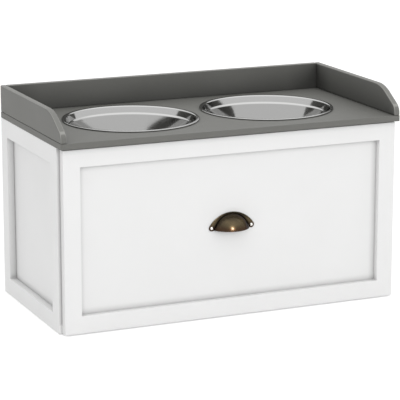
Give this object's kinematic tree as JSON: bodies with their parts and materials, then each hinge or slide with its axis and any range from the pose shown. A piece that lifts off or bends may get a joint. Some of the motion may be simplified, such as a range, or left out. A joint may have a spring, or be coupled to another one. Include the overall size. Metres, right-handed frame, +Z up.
{
  "type": "elevated dog feeder with storage",
  "caption": "Raised pet feeder: a low cabinet with a wide storage drawer, a top with guards on the back and sides, and lift-out steel bowls.",
  "frame": {"origin": "on the floor, midway between the drawer pull's lip and the top board's back edge, and midway between its ends", "axes": "+X to the right along the front, +Y to the back, +Z up"},
  "size_m": [0.6, 0.3046, 0.36],
  "materials": {
    "grey_paint": "satin grey paint on fibreboard",
    "white_paint": "satin white paint on fibreboard",
    "white_board": "white foil on fibreboard",
    "steel": "polished stainless steel sheet",
    "enamel": "white powder coat on steel sheet",
    "nylon": "natural nylon",
    "zinc": "bright zinc plate",
    "bronze": "antique bronze plate on a zinc casting",
    "nickel": "nickel plate",
    "beech": "turned beech"
  },
  "bodies": {
    "cabinet": {"top_board": "grey_paint", "back_guard": "grey_paint", "left_guard": "grey_paint", "right_guard": "grey_paint", "left_side_frame": "white_paint", "right_side_frame": "white_paint", "left_side_panel": "white_paint", "right_side_panel": "white_paint", "bottom_board": "white_board", "back_board": "white_board", "front_stretcher": "white_board", "left_cabinet_runner": "enamel", "right_cabinet_runner": "enamel", "cabinet_roller_pins": "zinc", "cabinet_runner_screws": "zinc", "carcass_dowels": "beech", "cam_discs": "zinc", "cam_bolts": "zinc", "guard_screws": "zinc"},
    "drawer": {"drawer_front_frame": "white_paint", "drawer_front_panel": "white_paint", "drawer_inner_front": "white_board", "drawer_left_side": "white_board", "drawer_right_side": "white_board", "drawer_back": "white_board", "drawer_bottom": "white_board", "left_drawer_runner": "enamel", "right_drawer_runner": "enamel", "drawer_roller_pins": "zinc", "drawer_runner_screws": "zinc", "front_fixing_screws": "zinc", "drawer_box_screws": "zinc", "cup_pull": "bronze", "pull_screws": "nickel"},
    "left_front_roller": {"left_front_roller": "nylon"},
    "right_front_roller": {"right_front_roller": "nylon"},
    "left_rear_roller": {"left_rear_roller": "nylon"},
    "right_rear_roller": {"right_rear_roller": "nylon"},
    "left_bowl": {"left_bowl": "steel"},
    "right_bowl": {"right_bowl": "steel"}
  },
  "joints": [
    {"name": "drawer_slide", "type": "slide", "parent": "cabinet", "child": "drawer", "axis": [0, -1, 0], "range_m": [0, 0.18]},
    {"name": "left_front_roller_spin", "type": "hinge", "parent": "cabinet", "child": "left_front_roller", "pos_m": [-0.2792, -0.09975, 0.033], "axis": [1, 0, 0], "range_deg": [0, 1090]},
    {"name": "left_rear_roller_spin", "type": "hinge", "parent": "drawer", "child": "left_rear_roller", "pos_m": [-0.2783, 0.12225, 0.033], "axis": [1, 0, 0], "range_deg": [0, 1090]},
    {"name": "right_front_roller_spin", "type": "hinge", "parent": "cabinet", "child": "right_front_roller", "pos_m": [0.2792, -0.09975, 0.033], "axis": [1, 0, 0], "range_deg": [0, 1090]},
    {"name": "right_rear_roller_spin", "type": "hinge", "parent": "drawer", "child": "right_rear_roller", "pos_m": [0.2783, 0.12225, 0.033], "axis": [1, 0, 0], "range_deg": [0, 1090]},
    {"name": "left_bowl_lift", "type": "slide", "parent": "cabinet", "child": "left_bowl", "axis": [0, 0, 1], "range_m": [0, 0.15]},
    {"name": "right_bowl_lift", "type": "slide", "parent": "cabinet", "child": "right_bowl", "axis": [0, 0, 1], "range_m": [0, 0.15]}
  ],
  "couplings": [
    {"joint": "left_front_roller_spin", "follows": "drawer_slide", "rad_per_m": 105.26},
    {"joint": "left_rear_roller_spin", "follows": "drawer_slide", "rad_per_m": 105.26},
    {"joint": "right_front_roller_spin", "follows": "drawer_slide", "rad_per_m": 105.26},
    {"joint": "right_rear_roller_spin", "follows": "drawer_slide", "rad_per_m": 105.26}
  ]
}
